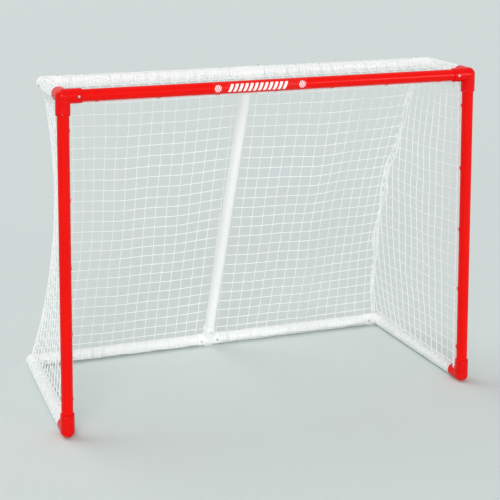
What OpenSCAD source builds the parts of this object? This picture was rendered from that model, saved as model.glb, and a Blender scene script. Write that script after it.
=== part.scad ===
// Free-standing hockey goal: a push-fit tube frame with a knotted net.
// Red tubes frame the mouth, white tubes carry the base, the top shelf and the brace.
// X runs along the crossbar, +Y points from the mouth to the back, +Z points up.
// The origin lies on the floor, under the middle of the goal.

/* [Goal mouth] */
// Distance between the two post axes at the crossbar
mouth_w = 1372; // [1000:1:1830]
// Height of the crossbar axis above the base rail axis
mouth_h = 1075; // [800:1:1220]
// How far each post's foot stands outside its top
foot_splay = 28; // [0:1:50]

/* [Depth] */
// Front to back distance of the base, axis to axis
base_depth = 670; // [600:1:900]
// How far each rear corner of the base stands outside the top corner
rear_splay = 14; // [0:1:50]
// Front to back distance of the top shelf, axis to axis
shelf_depth = 290; // [200:1:400]
// Distance of the brace's lower end from the goal's middle
base_tee_x = -20; // [-60:1:60]
// Distance of the brace's upper end from the goal's middle
shelf_tee_x = 12; // [-60:1:60]

/* [Tube] */
// Outside diameter of every tube
tube_od = 38; // [34:0.5:44]
// Wall of every tube
tube_wall = 2.2; // [1.6:0.1:3]

/* [Fittings] */
// Wall of a fitting around its tube
fitting_wall = 3.85; // [3:0.05:5]
// Clearance between a tube and its socket, on radius
socket_fit = 0.15; // [0.05:0.05:0.3]
// Depth of each socket
socket_depth = 33; // [26:1:45]
// How far the ball of a corner stands proud of its sockets, on radius
ball_proud = 0.4; // [0.2:0.1:1]
// How far the hollow of a ball stands proud of its passages, on radius
hollow_proud = 1.5; // [0.5:0.1:3]
// Material between the ball of a corner and the stop of its sockets
corner_web = 1.6; // [1:0.1:5]
// Space between the two tube ends inside a tee
tee_gap = 24; // [16:1:34]
// Step inside a socket that stops the tube
stop_step = 3; // [2:0.1:3.5]
// Clearance between a tube's end and its stop
end_gap = 0.3; // [0.1:0.1:1]
// Chamfer on the mouth of a socket
mouth_chamfer = 1.5; // [0.5:0.1:2.5]

/* [Feet] */
// Width of the flat foot under a fitting
foot_w = 16; // [10:1:20]
// Length of the flat foot under a fitting
foot_l = 30; // [20:1:40]
// How far a foot reaches below the fitting's ball
foot_drop = 0.5; // [0.3:0.1:2]
// Thickness of a foot
foot_t = 3; // [2.6:0.1:3.4]

/* [Screws] */
// Diameter of a screw's shank
screw_d = 3.5; // [3:0.1:5]
// Length of a screw's shank
screw_l = 12; // [9:0.5:14]
// Diameter of a screw's pan head
screw_head_d = 8; // [6:0.5:10]
// Height of a screw's pan head
screw_head_h = 2.6; // [1.5:0.1:4]
// Distance from a socket's mouth to its screw
screw_inset = 13; // [8:0.5:16]
// Clearance around a screw's shank, on radius
screw_fit = 0.15; // [0.1:0.05:0.3]
// Width of the cross slot in a screw's head
slot_w = 1; // [0.6:0.1:1.4]
// Depth of the cross slot in a screw's head
slot_depth = 1.1; // [0.5:0.1:1.4]

/* [Net] */
// Thickness of the netting
net_t = 2.4; // [1.5:0.1:4]
// Width of a strip of netting between two openings
net_strip = 8; // [4:0.5:14]
// Number of openings across the back net and the top net
back_cols = 12; // [4:1:12]
// Number of openings from front to back in a side net
side_cols = 6; // [3:1:10]
// Number of openings up the back net and the side nets
net_rows = 10; // [4:1:12]
// Number of openings from front to back in the top net
top_rows = 2; // [1:1:5]
// How far the net's rear folds are drawn in at half height
net_bow = 62; // [0:1:90]
// Clearance between the netting and a fitting
net_clear = 0.3; // [0.2:0.1:1]
// How far the back net hangs below the axis of the back rail
net_under = 3; // [0:1:10]
// How far the back net rises above the axis of the shelf
net_over = 10; // [0:1:14]
// Thickness of the net where it is wrapped round a tube
hem_t = 3.7; // [2:0.1:3.8]
// Clearance between a tube and the net wrapped round it
hem_fit = 0.3; // [0.2:0.05:0.6]
// Clearance between a wrapped stretch of net and the next fitting
hem_end_gap = 0.4; // [0.2:0.1:2]

/* [Border cord] */
// Diameter of the cord along the net's front edge
cord_d = 5; // [4:0.5:6]
// Distance of the cord inside a post's axis
cord_in = 22; // [20:0.5:30]
// Distance of the cord behind the axis of the posts and the crossbar
cord_back = 16; // [14:0.5:24]
// Distance of the cord below the crossbar's axis
cord_drop = 24; // [23:0.5:30]
// Height of the cord's lower ends above the base rail axis
cord_end_h = 32; // [28:1:60]
// Diameter of the knot at each end of the cord
knot_d = 9; // [7:0.5:10]

/* [Net clips] */
// Number of clips on each post
post_clip_count = 5; // [3:1:9]
// Number of clips on the crossbar
crossbar_clip_count = 7; // [3:2:13]
// Distance from a corner to the nearest clip
clip_from_corner = 105; // [80:1:180]
// Thickness of the ring of a clip
clip_ring_t = 3; // [2:0.1:4]
// Clearance between the cord and the ring of a clip, on radius
clip_fit = 0.3; // [0.2:0.1:0.6]
// Width of the saddle of a clip along the tube
clip_w = 11; // [8:0.5:16]
// Thickness of the saddle of a clip
clip_t = 1.8; // [1:0.1:2.4]
// Angle that the saddle of a clip covers on the tube
clip_angle = 70; // [40:1:120]
// Diameter of the neck between a clip's saddle and its ring
clip_neck_d = 4; // [3:0.1:6]
// Clearance between a tube and what lies on it
skin_gap = 0.05; // [0.02:0.01:0.1]

/* [Crossbar label] */
// Length of the printed film on the crossbar
label_l = 316; // [150:1:500]
// Distance of the film's middle from the goal's middle
label_x = -60; // [-120:1:120]
// Thickness of the film
label_t = 0.3; // [0.1:0.05:0.5]
// Angle that the film covers on the front of the crossbar
label_angle = 150; // [90:1:180]

/* [Hidden] */
$fn = 96;

// Radii
tube_r = tube_od / 2;
tube_in_r = tube_r - tube_wall;
bore_r = tube_r + socket_fit;
fitting_r = bore_r + fitting_wall;
ball_r = fitting_r + ball_proud;
passage_r = tube_r - stop_step;
hollow_r = passage_r + hollow_proud;
hem_in_r = tube_r + hem_fit;
hem_r = hem_in_r + hem_t;
cord_r = cord_d / 2;
ring_in_r = cord_r + clip_fit;
ring_mid_r = ring_in_r + clip_ring_t / 2;
ring_out_r = ring_in_r + clip_ring_t;
seat_r = tube_r + skin_gap;

// Distances from a corner's middle along a socket
corner_stop = ball_r + corner_web;
tee_stop = tee_gap / 2;
corner_reach = corner_stop + socket_depth;
tee_reach = tee_stop + socket_depth;

// Axes of the frame
half_w = mouth_w / 2;
foot_x = half_w + foot_splay;
rear_x = half_w + rear_splay;
y_front = -base_depth / 2;
y_back = base_depth / 2;
y_shelf = y_front + shelf_depth;
z_base = ball_r + foot_drop;
z_top = z_base + mouth_h;

// Corners of the right half of the frame, and the tees
top_corner_at = [half_w, y_front, z_top];
bottom_elbow_at = [foot_x, y_front, z_base];
back_elbow_at = [rear_x, y_back, z_base];
shelf_elbow_at = [half_w, y_shelf, z_top];
base_tee_at = [base_tee_x, y_back, z_base];
shelf_tee_at = [shelf_tee_x, y_shelf, z_top];

// Directions
LEFT = [-1, 0, 0];
RIGHT = [1, 0, 0];
FRONT = [0, -1, 0];
REAR = [0, 1, 0];
UP = [0, 0, 1];
post_up = unit(top_corner_at - bottom_elbow_at);
rail_rear = unit(back_elbow_at - bottom_elbow_at);
rail_outer = [rail_rear.y, -rail_rear.x, 0];
brace_up = unit(shelf_tee_at - base_tee_at);
slope_len = norm([y_back - y_shelf, mouth_h]);
brace_lean = atan2(y_back - y_shelf, mouth_h);
brace_front = [0, -cos(brace_lean), -sin(brace_lean)];

// Arms of the fittings: direction, distance to the tube stop, side of the screw
top_corner_arms = [
    [LEFT, corner_stop, FRONT],
    [-post_up, corner_stop, REAR],
    [REAR, corner_stop, RIGHT]
];
bottom_elbow_arms = [
    [post_up, corner_stop, REAR],
    [rail_rear, corner_stop, rail_outer]
];
back_elbow_arms = [
    [-rail_rear, corner_stop, rail_outer],
    [LEFT, corner_stop, FRONT]
];
shelf_elbow_arms = [
    [FRONT, corner_stop, RIGHT],
    [LEFT, corner_stop, UP]
];
base_tee_arms = [
    [LEFT, tee_stop, FRONT],
    [RIGHT, tee_stop, FRONT],
    [brace_up, corner_stop, brace_front]
];
shelf_tee_arms = [
    [LEFT, tee_stop, UP],
    [RIGHT, tee_stop, UP],
    [-brace_up, corner_stop, brace_front]
];

// Net planes: the back net lies behind every ball, the top net between the shelf tubes
net_off = ball_r + net_clear;
net_front_y = y_front + cord_back + ring_out_r + net_clear;
net_rear_gap = net_off / cos(brace_lean) - net_clear;
side_low = net_off / mouth_h;
side_high = 1 - side_low;
fold_steps = 24;

// Places of the clips, as shares of a post's height and as distances along the crossbar
clip_low = clip_from_corner / mouth_h;
clip_high = 1 - clip_low;
post_clips = [for (i = [0 : post_clip_count - 1])
    clip_low + (clip_high - clip_low) * i / (post_clip_count - 1)];
crossbar_clip_span = half_w - clip_from_corner;
crossbar_clip_xs = [for (i = [0 : crossbar_clip_count - 1])
    crossbar_clip_span * (2 * i / (crossbar_clip_count - 1) - 1)];

red = [0.80, 0.07, 0.08];
white = [0.95, 0.95, 0.93];
net_white = [0.88, 0.90, 0.89];
steel = [0.62, 0.62, 0.64];
label_red = [0.86, 0.20, 0.18];

function unit(v) = v / norm(v);

// Post axis, rear fold of the net and brace plane at a share s of the frame's height
function post_x(s) = foot_x + (half_w - foot_x) * s;
function fold_x(s) = rear_x + (half_w - rear_x) * s - net_bow * 4 * s * (1 - s);
function flip(p) = [-p.x, p.y, p.z];
function plane_y(s) = y_back + (y_shelf - y_back) * s;
function height_z(s) = z_base + mouth_h * s;
function within(s) = max(0, min(1, s));

// Turns +Z to a direction
module aim(direction) {
    rotate([0, acos(direction.z / norm(direction)), atan2(direction.y, direction.x)])
        children();
}

// Draws for the right and, mirrored, for the left
module both_sides() {
    children();
    mirror([1, 0, 0])
        children();
}

module rod(from, to, r) {
    translate(from)
        aim(to - from)
            cylinder(h = norm(to - from), r = r);
}

// ---- Screws ----

// Screw along +Z from the tube's axis; its head rests on the socket
module screw() {
    head_z = fitting_r + skin_gap;
    translate([0, 0, head_z - screw_l])
        cylinder(h = screw_l + screw_head_h / 2, d = screw_d);
    difference() {
        translate([0, 0, head_z])
            rotate_extrude()
                polygon([
                    [0, 0], [screw_head_d / 2, 0], [screw_head_d / 2, screw_head_h * 0.4],
                    [screw_head_d * 0.32, screw_head_h], [0, screw_head_h]
                ]);
        for (turn = [0, 90])
            rotate([0, 0, turn])
                translate([-screw_head_d / 2, -slot_w / 2, head_z + screw_head_h - slot_depth])
                    cube([screw_head_d, slot_w, slot_depth + 1]);
    }
}

module screw_hole() {
    cylinder(h = fitting_r + ball_r, r = screw_d / 2 + screw_fit);
}

// Puts its children at the screw of each arm of the fitting at a corner
module at_screws(corner, arms) {
    for (arm = arms)
        translate(corner + arm[0] * (arm[1] + socket_depth - screw_inset))
            aim(arm[2])
                children();
}

// ---- Fittings ----

module socket_shell(reach) {
    rotate_extrude()
        polygon([
            [0, 0], [fitting_r, 0], [fitting_r, reach - mouth_chamfer],
            [fitting_r - mouth_chamfer, reach], [0, reach]
        ]);
}

// Passage for weight and water, and the bore that the tube is pushed into
module socket_hollow(stop) {
    cylinder(h = stop + 1, r = passage_r);
    translate([0, 0, stop])
        cylinder(h = socket_depth + 1, r = bore_r);
}

// Flat foot under a socket, along X
module foot() {
    translate([-foot_l / 2, -foot_w / 2, -z_base])
        cube([foot_l, foot_w, foot_t]);
}

// Ball with a socket for each arm; its children are the feet
// arm_turn turns each socket about its own axis
module fitting(corner, arms, arm_turn = 0) {
    difference() {
        translate(corner) {
            sphere(r = ball_r);
            for (arm = arms)
                aim(arm[0])
                    rotate([0, 0, arm_turn])
                        socket_shell(arm[1] + socket_depth);
            children();
        }
        translate(corner) {
            sphere(r = hollow_r);
            for (arm = arms)
                aim(arm[0])
                    rotate([0, 0, arm_turn])
                        socket_hollow(arm[1]);
        }
        at_screws(corner, arms)
            screw_hole();
    }
}

module top_corner() {
    fitting(top_corner_at, top_corner_arms);
}

module bottom_elbow() {
    fitting(bottom_elbow_at, bottom_elbow_arms)
        translate(rail_rear * corner_stop)
            rotate([0, 0, 90])
                foot();
}

module back_elbow() {
    fitting(back_elbow_at, back_elbow_arms)
        translate([-corner_stop, 0, 0])
            foot();
}

module shelf_elbow() {
    fitting(shelf_elbow_at, shelf_elbow_arms);
}

// ---- Tubes ----

// Tube between two corners, with a hole for the screw near each end
// An end is [corner, distance to the stop, side of the screw]
module tube(start, finish) {
    along = unit(finish[0] - start[0]);
    from = start[0] + along * (start[1] + end_gap);
    to = finish[0] - along * (finish[1] + end_gap);
    difference() {
        rod(from, to, tube_r);
        rod(from - along, to + along, tube_in_r);
        at_screws(start[0], [[along, start[1], start[2]]])
            screw_hole();
        at_screws(finish[0], [[-along, finish[1], finish[2]]])
            screw_hole();
    }
}

module post() {
    tube([bottom_elbow_at, corner_stop, REAR], [top_corner_at, corner_stop, REAR]);
}

module side_rail() {
    tube([bottom_elbow_at, corner_stop, rail_outer], [back_elbow_at, corner_stop, rail_outer]);
}

module back_rail(elbow_at) {
    tube([elbow_at, corner_stop, FRONT], [base_tee_at, tee_stop, FRONT]);
}

module shelf_tube() {
    tube([top_corner_at, corner_stop, RIGHT], [shelf_elbow_at, corner_stop, RIGHT]);
}

module shelf_bar(elbow_at) {
    tube([elbow_at, corner_stop, UP], [shelf_tee_at, tee_stop, UP]);
}

// ---- Red frame of the mouth ----

module right_post() {
    color(red)
        post();
}

module left_post() {
    color(red)
        mirror([1, 0, 0])
            post();
}

module crossbar() {
    color(red)
        tube([flip(top_corner_at), corner_stop, FRONT], [top_corner_at, corner_stop, FRONT]);
}

module top_right_corner() {
    color(red)
        top_corner();
}

module top_left_corner() {
    color(red)
        mirror([1, 0, 0])
            top_corner();
}

module bottom_right_elbow() {
    color(red)
        bottom_elbow();
}

module bottom_left_elbow() {
    color(red)
        mirror([1, 0, 0])
            bottom_elbow();
}

// ---- White base ----

module right_side_rail() {
    color(white)
        side_rail();
}

module left_side_rail() {
    color(white)
        mirror([1, 0, 0])
            side_rail();
}

module back_right_elbow() {
    color(white)
        back_elbow();
}

module back_left_elbow() {
    color(white)
        mirror([1, 0, 0])
            back_elbow();
}

module back_rail_right() {
    color(white)
        back_rail(back_elbow_at);
}

module back_rail_left() {
    color(white)
        back_rail(flip(back_elbow_at));
}

module base_tee() {
    color(white)
        fitting(base_tee_at, base_tee_arms)
            foot();
}

// ---- White brace and top shelf ----

module centre_brace() {
    color(white)
        tube([base_tee_at, corner_stop, brace_front], [shelf_tee_at, corner_stop, brace_front]);
}

module shelf_tee() {
    color(white)
        fitting(shelf_tee_at, shelf_tee_arms, arm_turn = 180);
}

module shelf_bar_right() {
    color(white)
        shelf_bar(shelf_elbow_at);
}

module shelf_bar_left() {
    color(white)
        shelf_bar(flip(shelf_elbow_at));
}

module shelf_right_elbow() {
    color(white)
        shelf_elbow();
}

module shelf_left_elbow() {
    color(white)
        mirror([1, 0, 0])
            shelf_elbow();
}

module right_shelf_tube() {
    color(white)
        shelf_tube();
}

module left_shelf_tube() {
    color(white)
        mirror([1, 0, 0])
            shelf_tube();
}

// ---- Net panels ----

// Point of the side net: u runs from the cord to the rear fold, s from the base to the top
function side_point(u, s, x_shift) = [
    (1 - u) * (post_x(s) - cord_in) + u * fold_x(s) + x_shift,
    (1 - u) * net_front_y + u * (plane_y(s) + net_rear_gap),
    height_z(s)
];

// Edges of the strips round a row of openings, as shares of the row's length
function strip_edges(count, strip) = concat(
    [0, strip],
    [for (i = [1 : count - 1], edge = [-0.5, 0.5]) i / count + strip * edge],
    [1 - strip, 1]
);
side_us = strip_edges(side_cols, net_strip / base_depth);
side_ss = strip_edges(net_rows, net_strip / mouth_h);
last_row = len(side_ss) - 1;
last_col = len(side_us) - 1;
function side_layer(x_shift) = [
    for (share = side_ss, u = side_us)
        side_point(u, side_low + (side_high - side_low) * share, x_shift)
];
function outer_at(row, col) = row * (last_col + 1) + col;
function inner_at(row, col) = outer_at(row, col) + (last_row + 1) * (last_col + 1);
function two_triangles(a, b, c, d) = [[a, b, c], [a, c, d]];

// Strips have even numbers, and openings lie where both numbers are odd
function is_net(row, col) =
    row >= 0 && row < last_row && col >= 0 && col < last_col
    && (row % 2 == 0 || col % 2 == 0);

module side_net() {
    cells = [for (row = [0 : last_row - 1], col = [0 : last_col - 1])
        if (is_net(row, col)) [row, col]];
    outer_faces = [for (cell = cells, face = two_triangles(
        outer_at(cell[0], cell[1]), outer_at(cell[0] + 1, cell[1]),
        outer_at(cell[0] + 1, cell[1] + 1), outer_at(cell[0], cell[1] + 1))) face];
    inner_faces = [for (cell = cells, face = two_triangles(
        inner_at(cell[0], cell[1] + 1), inner_at(cell[0] + 1, cell[1] + 1),
        inner_at(cell[0] + 1, cell[1]), inner_at(cell[0], cell[1]))) face];
    low_faces = [for (cell = cells) if (!is_net(cell[0] - 1, cell[1]))
        for (face = two_triangles(
            outer_at(cell[0], cell[1]), outer_at(cell[0], cell[1] + 1),
            inner_at(cell[0], cell[1] + 1), inner_at(cell[0], cell[1]))) face];
    high_faces = [for (cell = cells) if (!is_net(cell[0] + 1, cell[1]))
        for (face = two_triangles(
            inner_at(cell[0] + 1, cell[1]), inner_at(cell[0] + 1, cell[1] + 1),
            outer_at(cell[0] + 1, cell[1] + 1), outer_at(cell[0] + 1, cell[1]))) face];
    front_faces = [for (cell = cells) if (!is_net(cell[0], cell[1] - 1))
        for (face = two_triangles(
            inner_at(cell[0], cell[1]), inner_at(cell[0] + 1, cell[1]),
            outer_at(cell[0] + 1, cell[1]), outer_at(cell[0], cell[1]))) face];
    rear_faces = [for (cell = cells) if (!is_net(cell[0], cell[1] + 1))
        for (face = two_triangles(
            outer_at(cell[0], cell[1] + 1), outer_at(cell[0] + 1, cell[1] + 1),
            inner_at(cell[0] + 1, cell[1] + 1), inner_at(cell[0], cell[1] + 1))) face];
    polyhedron(
        points = concat(side_layer(net_t / 2), side_layer(-net_t / 2)),
        faces = concat(outer_faces, inner_faces, low_faces, high_faces, front_faces, rear_faces)
    );
}

module net_right() {
    color(net_white)
        side_net();
}

module net_left() {
    color(net_white)
        mirror([1, 0, 0])
            side_net();
}

// Outline of the back net with both folds drawn in, narrowed by a margin all round
function back_heights(margin) = [
    for (i = [0 : fold_steps])
        margin - net_under + (slope_len + net_over + net_under - 2 * margin) * i / fold_steps
];
function back_edge(margin, side) = [
    for (v = back_heights(margin)) [side * (fold_x(within(v / slope_len)) - margin), v]
];
function back_outline(margin) = concat(
    back_edge(margin, 1),
    [for (i = [fold_steps : -1 : 0]) back_edge(margin, -1)[i]]
);

// Openings of the back net, in rows and columns
module back_openings() {
    wide = 2 * rear_x / back_cols;
    high = (slope_len + net_over + net_under) / net_rows;
    for (col = [0 : back_cols - 1], row = [0 : net_rows - 1])
        translate([
            (col - back_cols / 2) * wide + net_strip / 2,
            row * high - net_under + net_strip / 2,
            -net_t
        ])
            cube([wide - net_strip, high - net_strip, 3 * net_t]);
}

// Flat panel behind the brace
module net_back() {
    color(net_white)
        translate([0, y_back, z_base])
            rotate([90 + brace_lean, 0, 0])
                translate([0, 0, -net_off - net_t])
                    difference() {
                        linear_extrude(height = net_t)
                            polygon(back_outline(0));
                        intersection() {
                            translate([0, 0, -net_t / 2])
                                linear_extrude(height = 2 * net_t)
                                    polygon(back_outline(net_strip));
                            back_openings();
                        }
                    }
}

// Flat panel from the crossbar's cord to the shelf bar
module net_top() {
    net_w = mouth_w - 2 * net_off;
    front_z = z_top - cord_drop;
    rear_y = y_shelf - net_off;
    wide = (net_w - net_strip) / back_cols;
    deep = (rear_y - net_front_y - net_strip) / top_rows;
    color(net_white)
        difference() {
            translate([-net_w / 2, 0, 0])
                rotate([90, 0, 90])
                    linear_extrude(height = net_w)
                        polygon([
                            [net_front_y, front_z - net_t / 2], [rear_y, z_top - net_t / 2],
                            [rear_y, z_top + net_t / 2], [net_front_y, front_z + net_t / 2]
                        ]);
            for (col = [0 : back_cols - 1], row = [0 : top_rows - 1])
                translate([
                    col * wide + net_strip - net_w / 2,
                    row * deep + net_strip + net_front_y,
                    front_z - net_t
                ])
                    cube([wide - net_strip, deep - net_strip, cord_drop + 2 * net_t]);
        }
}

// ---- Net edges that are wrapped round the white tubes ----

// Wrap round a tube, between the mouths of its two sockets
module wrap(from, from_reach, to, to_reach) {
    along = unit(to - from);
    low = from + along * (from_reach + hem_end_gap);
    high = to - along * (to_reach + hem_end_gap);
    difference() {
        rod(low, high, hem_r);
        rod(low - along, high + along, hem_in_r);
    }
}

module rail_hem() {
    wrap(bottom_elbow_at, corner_reach, back_elbow_at, corner_reach);
}

module shelf_hem() {
    wrap(top_corner_at, corner_reach, shelf_elbow_at, corner_reach);
}

module hem_right_rail() {
    color(net_white)
        rail_hem();
}

module hem_left_rail() {
    color(net_white)
        mirror([1, 0, 0])
            rail_hem();
}

module hem_back_rail() {
    color(net_white)
        for (elbow_at = [back_elbow_at, flip(back_elbow_at)])
            wrap(elbow_at, corner_reach, base_tee_at, tee_reach);
}

module hem_right_shelf() {
    color(net_white)
        shelf_hem();
}

module hem_left_shelf() {
    color(net_white)
        mirror([1, 0, 0])
            shelf_hem();
}

module hem_shelf_bar() {
    color(net_white)
        for (elbow_at = [shelf_elbow_at, flip(shelf_elbow_at)])
            wrap(elbow_at, corner_reach, shelf_tee_at, tee_reach);
}

// ---- Border cord and its clips ----

cord_high_s = 1 - cord_drop / mouth_h;
cord_corner_at = [post_x(cord_high_s) - cord_in, y_front + cord_back, z_top - cord_drop];
cord_end_s = cord_end_h / mouth_h;
cord_end_at = [post_x(cord_end_s) - cord_in, y_front + cord_back, height_z(cord_end_s)];

module net_border_cord() {
    color(net_white) {
        rod(flip(cord_corner_at), cord_corner_at, cord_r);
        both_sides() {
            rod(cord_end_at, cord_corner_at, cord_r);
            translate(cord_corner_at)
                sphere(r = cord_r * 1.02);
            translate(cord_end_at)
                sphere(d = knot_d);
        }
    }
}

// Clip on a tube along Z at the origin; the cord lies at (reach, 0)
module clip(reach) {
    rotate([0, 0, -clip_angle / 2])
        translate([0, 0, -clip_w / 2])
            rotate_extrude(angle = clip_angle)
                translate([seat_r, 0])
                    square([clip_t, clip_w]);
    rod([seat_r + clip_t / 2, 0, 0], [reach - ring_mid_r, 0, 0], clip_neck_d / 2);
    translate([reach, 0, 0])
        rotate_extrude()
            translate([ring_mid_r, 0])
                circle(d = clip_ring_t);
}

module post_clip_set() {
    reach = norm([cord_in, cord_back]);
    for (s = post_clips)
        translate([post_x(s), y_front, height_z(s)])
            rotate([0, -atan2(foot_x - half_w, mouth_h), 0])
                rotate([0, 0, 180 - atan2(cord_back, cord_in)])
                    clip(reach);
}

module right_post_clips() {
    color(red)
        post_clip_set();
}

module left_post_clips() {
    color(red)
        mirror([1, 0, 0])
            post_clip_set();
}

module crossbar_clips() {
    reach = norm([cord_drop, cord_back]);
    color(red)
        for (x = crossbar_clip_xs)
            translate([x, y_front, z_top])
                rotate([0, 90, 0])
                    rotate([0, 0, atan2(cord_back, cord_drop)])
                        clip(reach);
}

// ---- Screws of each group ----

module frame_screws() {
    color(steel)
        both_sides() {
            at_screws(top_corner_at, [top_corner_arms[0], top_corner_arms[1]])
                screw();
            at_screws(bottom_elbow_at, [bottom_elbow_arms[0]])
                screw();
        }
}

module base_screws() {
    color(steel) {
        both_sides() {
            at_screws(bottom_elbow_at, [bottom_elbow_arms[1]])
                screw();
            at_screws(back_elbow_at, back_elbow_arms)
                screw();
        }
        at_screws(base_tee_at, base_tee_arms)
            screw();
    }
}

module shelf_screws() {
    color(steel) {
        both_sides() {
            at_screws(top_corner_at, [top_corner_arms[2]])
                screw();
            at_screws(shelf_elbow_at, shelf_elbow_arms)
                screw();
        }
        at_screws(shelf_tee_at, shelf_tee_arms)
            screw();
    }
}

// ---- Printed film on the front of the crossbar ----

module crossbar_label() {
    color(label_red)
        translate([label_x - label_l / 2, y_front, z_top])
            rotate([0, 90, 0])
                rotate([0, 0, -90 - label_angle / 2])
                    rotate_extrude(angle = label_angle)
                        translate([seat_r, 0])
                            square([label_t, label_l]);
}

left_post();
right_post();
crossbar();
top_left_corner();
top_right_corner();
bottom_left_elbow();
bottom_right_elbow();
left_side_rail();
right_side_rail();
back_left_elbow();
back_right_elbow();
back_rail_left();
back_rail_right();
base_tee();
centre_brace();
shelf_tee();
shelf_bar_left();
shelf_bar_right();
shelf_left_elbow();
shelf_right_elbow();
left_shelf_tube();
right_shelf_tube();
net_top();
net_back();
net_left();
net_right();
hem_left_rail();
hem_right_rail();
hem_back_rail();
hem_left_shelf();
hem_right_shelf();
hem_shelf_bar();
net_border_cord();
left_post_clips();
right_post_clips();
crossbar_clips();
frame_screws();
base_screws();
shelf_screws();
crossbar_label();
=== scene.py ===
import math

import bpy
import numpy as np
from mathutils import Matrix, Vector


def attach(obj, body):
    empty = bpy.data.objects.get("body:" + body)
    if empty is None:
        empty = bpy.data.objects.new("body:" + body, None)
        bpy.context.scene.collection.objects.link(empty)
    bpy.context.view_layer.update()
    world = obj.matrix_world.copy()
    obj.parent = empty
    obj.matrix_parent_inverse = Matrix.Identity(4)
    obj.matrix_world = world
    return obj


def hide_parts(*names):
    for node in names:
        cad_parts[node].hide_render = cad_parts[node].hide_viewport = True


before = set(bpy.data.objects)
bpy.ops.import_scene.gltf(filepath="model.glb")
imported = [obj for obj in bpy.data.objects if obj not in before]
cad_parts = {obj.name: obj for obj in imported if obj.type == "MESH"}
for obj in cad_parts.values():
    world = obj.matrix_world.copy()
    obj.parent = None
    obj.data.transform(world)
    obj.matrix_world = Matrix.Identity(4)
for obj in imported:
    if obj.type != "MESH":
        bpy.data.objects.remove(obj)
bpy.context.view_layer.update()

# ---- Sizes of the goal in metres, the same as in the solids ----

half_w = 0.686          # half the distance between the post axes, at the crossbar
mouth_h = 1.075         # crossbar axis, above z_base
foot_x = 0.714          # post axis at its foot
rear_x = 0.700          # rear corner on the floor
y_front = -0.335        # posts and crossbar
y_back = 0.335          # back rail
y_shelf = -0.045        # shelf bar
z_base = 0.0239         # axes of the tubes on the floor
z_top = z_base + mouth_h
base_tee_x = -0.020
shelf_tee_x = 0.012
corner_reach = 0.058    # from the middle of a corner fitting to the end of its sockets
tee_reach = 0.045       # the same at a tee
net_bow = 0.062         # how far the rear folds curve inwards
net_off = 0.0237        # from a tube's axis to the edge of a panel
net_front_y = -0.3129   # front edge of the side nets and the top net
net_rear_gap = 0.0248   # rear edge of the side nets, behind the slope of the brace
back_gap = 0.0264       # back net, behind the slope of the brace
cord_in = 0.022         # border rope, inwards from the post axis
cord_back = 0.016       # border rope, behind the axes of the posts and the crossbar
cord_drop = 0.024       # border rope, below the crossbar axis
cord_end_h = 0.032      # ends of the border rope, above z_base
cord_r = 0.0025
hem_gap = 0.0004        # between a socket and the wrapping beside it
saddle_r = 0.0214       # a clip is red up to this distance from the tube's axis

# ---- Netting: meshes across and up, and sizes in metres ----

net_columns = 33
back_rows = 27
top_rows = 5
mesh_w = 2 * half_w / net_columns
slope_len = math.hypot(y_back - y_shelf, mouth_h)
back_lean = math.atan2(y_back - y_shelf, mouth_h)
twine_r = 0.0016
twine_pitch = 0.006
knot_r = 0.0029
loop_r = 0.0040
sleeve_low_r = 0.0206
sleeve_high_r = 0.0216
fitting_r = 0.0230
fitting_end_r = fitting_r + twine_r
rope_r = cord_r * 1.04
rope_pitch = 0.02
rope_plies = 3.0
rope_step = 0.0028
rope_knot_r = 0.0045
back_sag = 0.011
back_wave = 0.004
side_wave = 0.006
top_sag = 0.010
top_wave = 0.004
net_drop = 0.007
net_drift = 0.004

# ---- Colours, linear ----

RED = (0.88, 0.0040, 0.0008)
DEEP_RED = (0.82, 0.0020, 0.0006)
FITTING_RED = (0.84, 0.0022, 0.0018)
DEEP_FITTING_RED = (0.76, 0.0012, 0.0010)
FILM_RED = (0.86, 0.010, 0.006)
DEEP_FILM_RED = (0.80, 0.006, 0.004)
FILM_INK = (0.93, 0.93, 0.92)
WHITE = (0.93, 0.94, 0.93)
GREY_WHITE = (0.87, 0.89, 0.88)
NYLON = (0.90, 0.92, 0.91)
DEEP_NYLON = (0.80, 0.84, 0.83)
# the deep twine and rope colours are the dark end of a mix of painted shade in the ply grooves and
# slight soiling
TWINE = (0.94, 0.96, 0.955)
DEEP_TWINE = (0.84, 0.88, 0.87)
ROPE = (0.95, 0.96, 0.955)
DEEP_ROPE = (0.85, 0.88, 0.87)
ZINC = (0.72, 0.73, 0.75)
DULL_ZINC = (0.52, 0.53, 0.55)
PAPER = (0.676, 0.745, 0.729)
DEEP_PAPER = (0.664, 0.733, 0.717)
BACKGROUND = (0.651, 0.716, 0.701)
LAMP_WHITE = (1.0, 1.0, 1.0)


# ---- Node trees written as Python ----

class Value:
    """One socket of a node tree; arithmetic on it adds Math nodes."""

    def __init__(self, nodes, socket):
        self.nodes = nodes
        self.socket = socket

    def math(self, operation, *others):
        return self.nodes.math(operation, self, *others)

    def __add__(self, other):
        return self.math("ADD", other)

    def __radd__(self, other):
        return self.nodes.math("ADD", other, self)

    def __sub__(self, other):
        return self.math("SUBTRACT", other)

    def __rsub__(self, other):
        return self.nodes.math("SUBTRACT", other, self)

    def __mul__(self, other):
        return self.math("MULTIPLY", other)

    def __truediv__(self, other):
        return self.math("DIVIDE", other)

    def __abs__(self):
        return self.math("ABSOLUTE")


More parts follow.
